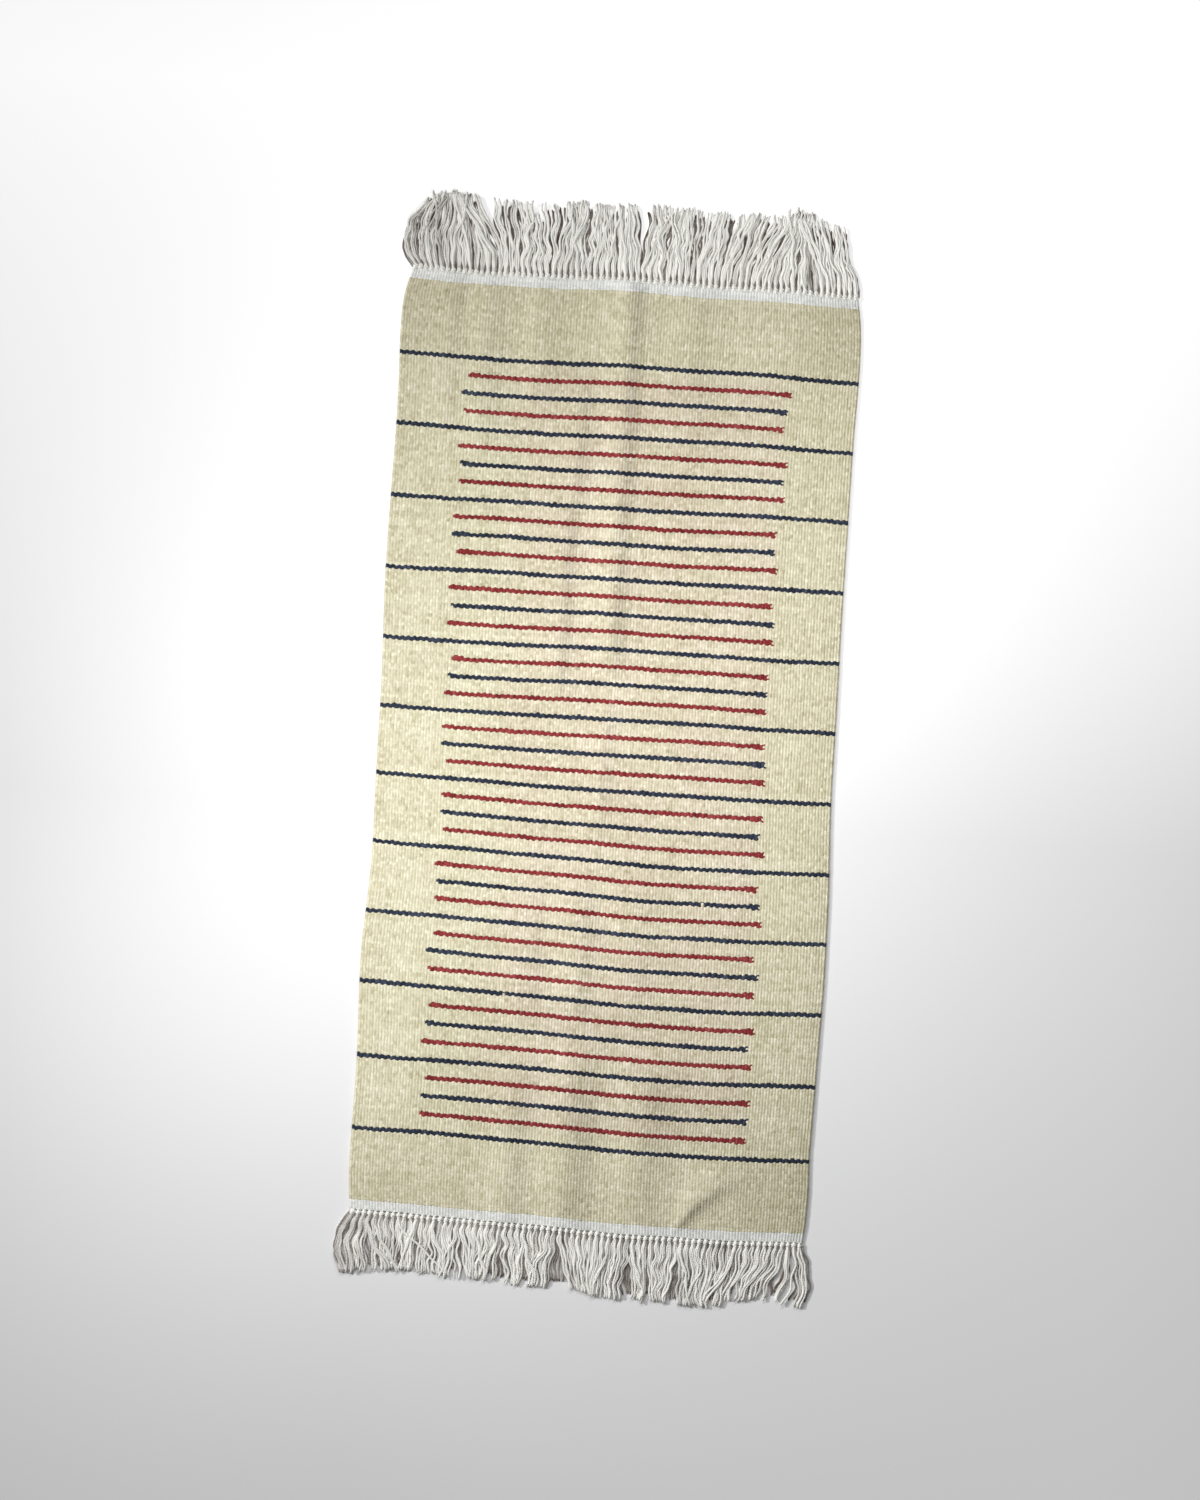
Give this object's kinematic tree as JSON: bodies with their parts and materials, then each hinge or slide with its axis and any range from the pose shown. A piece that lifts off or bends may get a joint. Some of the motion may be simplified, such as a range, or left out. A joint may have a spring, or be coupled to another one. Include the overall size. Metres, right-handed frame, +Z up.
{
  "type": "runner rug",
  "caption": "Flat-woven wool runner with narrow navy and red cross stripes, cotton headings and knotted fringes. Both ends fold over the middle, and each fringe turns back.",
  "frame": {"origin": "middle of the underside, fringes included, on the floor", "axes": "+X across the rug, +Y along it towards the end shown at the top of the picture, +Z up through the cloth"},
  "size_m": [0.6, 1.438, 0.006],
  "materials": {
    "ground_wool": "matt undyed beige wool, weft-faced ribbed weave",
    "navy_wool": "matt navy wool",
    "red_wool": "matt brick red wool",
    "white_cotton": "ribbed white cotton",
    "fringe_cotton": "plied off-white cotton strands"
  },
  "bodies": {
    "centre_panel": {"ground_bay_04": "ground_wool", "navy_stripe_04": "navy_wool", "red_stripes_04": "red_wool", "ground_bay_05": "ground_wool", "navy_stripe_05": "navy_wool", "red_stripes_05": "red_wool", "ground_bay_06": "ground_wool", "navy_stripe_06": "navy_wool", "red_stripes_06": "red_wool", "ground_bay_07": "ground_wool", "navy_stripe_07": "navy_wool", "red_stripes_07": "red_wool", "ground_bay_08": "ground_wool", "navy_stripe_08": "navy_wool", "red_stripes_08": "red_wool", "ground_bay_09": "ground_wool", "navy_stripe_09": "navy_wool", "red_stripes_09": "red_wool", "navy_line_04": "navy_wool", "navy_line_05": "navy_wool", "navy_line_06": "navy_wool", "navy_line_07": "navy_wool", "navy_line_08": "navy_wool", "navy_line_09": "navy_wool", "navy_line_10": "navy_wool", "fold_strip_bottom": "ground_wool", "fold_strip_top": "ground_wool"},
    "top_panel": {"ground_bay_10": "ground_wool", "navy_stripe_10": "navy_wool", "red_stripes_10": "red_wool", "ground_bay_11": "ground_wool", "navy_stripe_11": "navy_wool", "red_stripes_11": "red_wool", "navy_line_11": "navy_wool", "navy_line_12": "navy_wool", "end_band_top": "ground_wool", "heading_top": "white_cotton", "knots_top": "fringe_cotton"},
    "bottom_panel": {"ground_bay_01": "ground_wool", "navy_stripe_01": "navy_wool", "red_stripes_01": "red_wool", "ground_bay_02": "ground_wool", "navy_stripe_02": "navy_wool", "red_stripes_02": "red_wool", "ground_bay_03": "ground_wool", "navy_stripe_03": "navy_wool", "red_stripes_03": "red_wool", "navy_line_01": "navy_wool", "navy_line_02": "navy_wool", "navy_line_03": "navy_wool", "end_band_bottom": "ground_wool", "heading_bottom": "white_cotton", "knots_bottom": "fringe_cotton"},
    "top_tassels": {"fringe_top": "fringe_cotton"},
    "bottom_tassels": {"fringe_bottom": "fringe_cotton"}
  },
  "joints": [
    {"name": "fold_top", "type": "hinge", "parent": "centre_panel", "child": "top_panel", "pos_m": [0, 0.32875, 0.0085], "axis": [1, 0, 0], "range_deg": [0, 179.5]},
    {"name": "fold_bottom", "type": "hinge", "parent": "centre_panel", "child": "bottom_panel", "pos_m": [0, -0.25875, 0.0145], "axis": [-1, 0, 0], "range_deg": [0, 179.5]},
    {"name": "fringe_top_turn", "type": "hinge", "parent": "top_panel", "child": "top_tassels", "pos_m": [0, 0.623, 0.0047], "axis": [1, 0, 0], "range_deg": [0, 179.5]},
    {"name": "fringe_bottom_turn", "type": "hinge", "parent": "bottom_panel", "child": "bottom_tassels", "pos_m": [0, -0.647, 0.0047], "axis": [-1, 0, 0], "range_deg": [0, 179.5]}
  ]
}
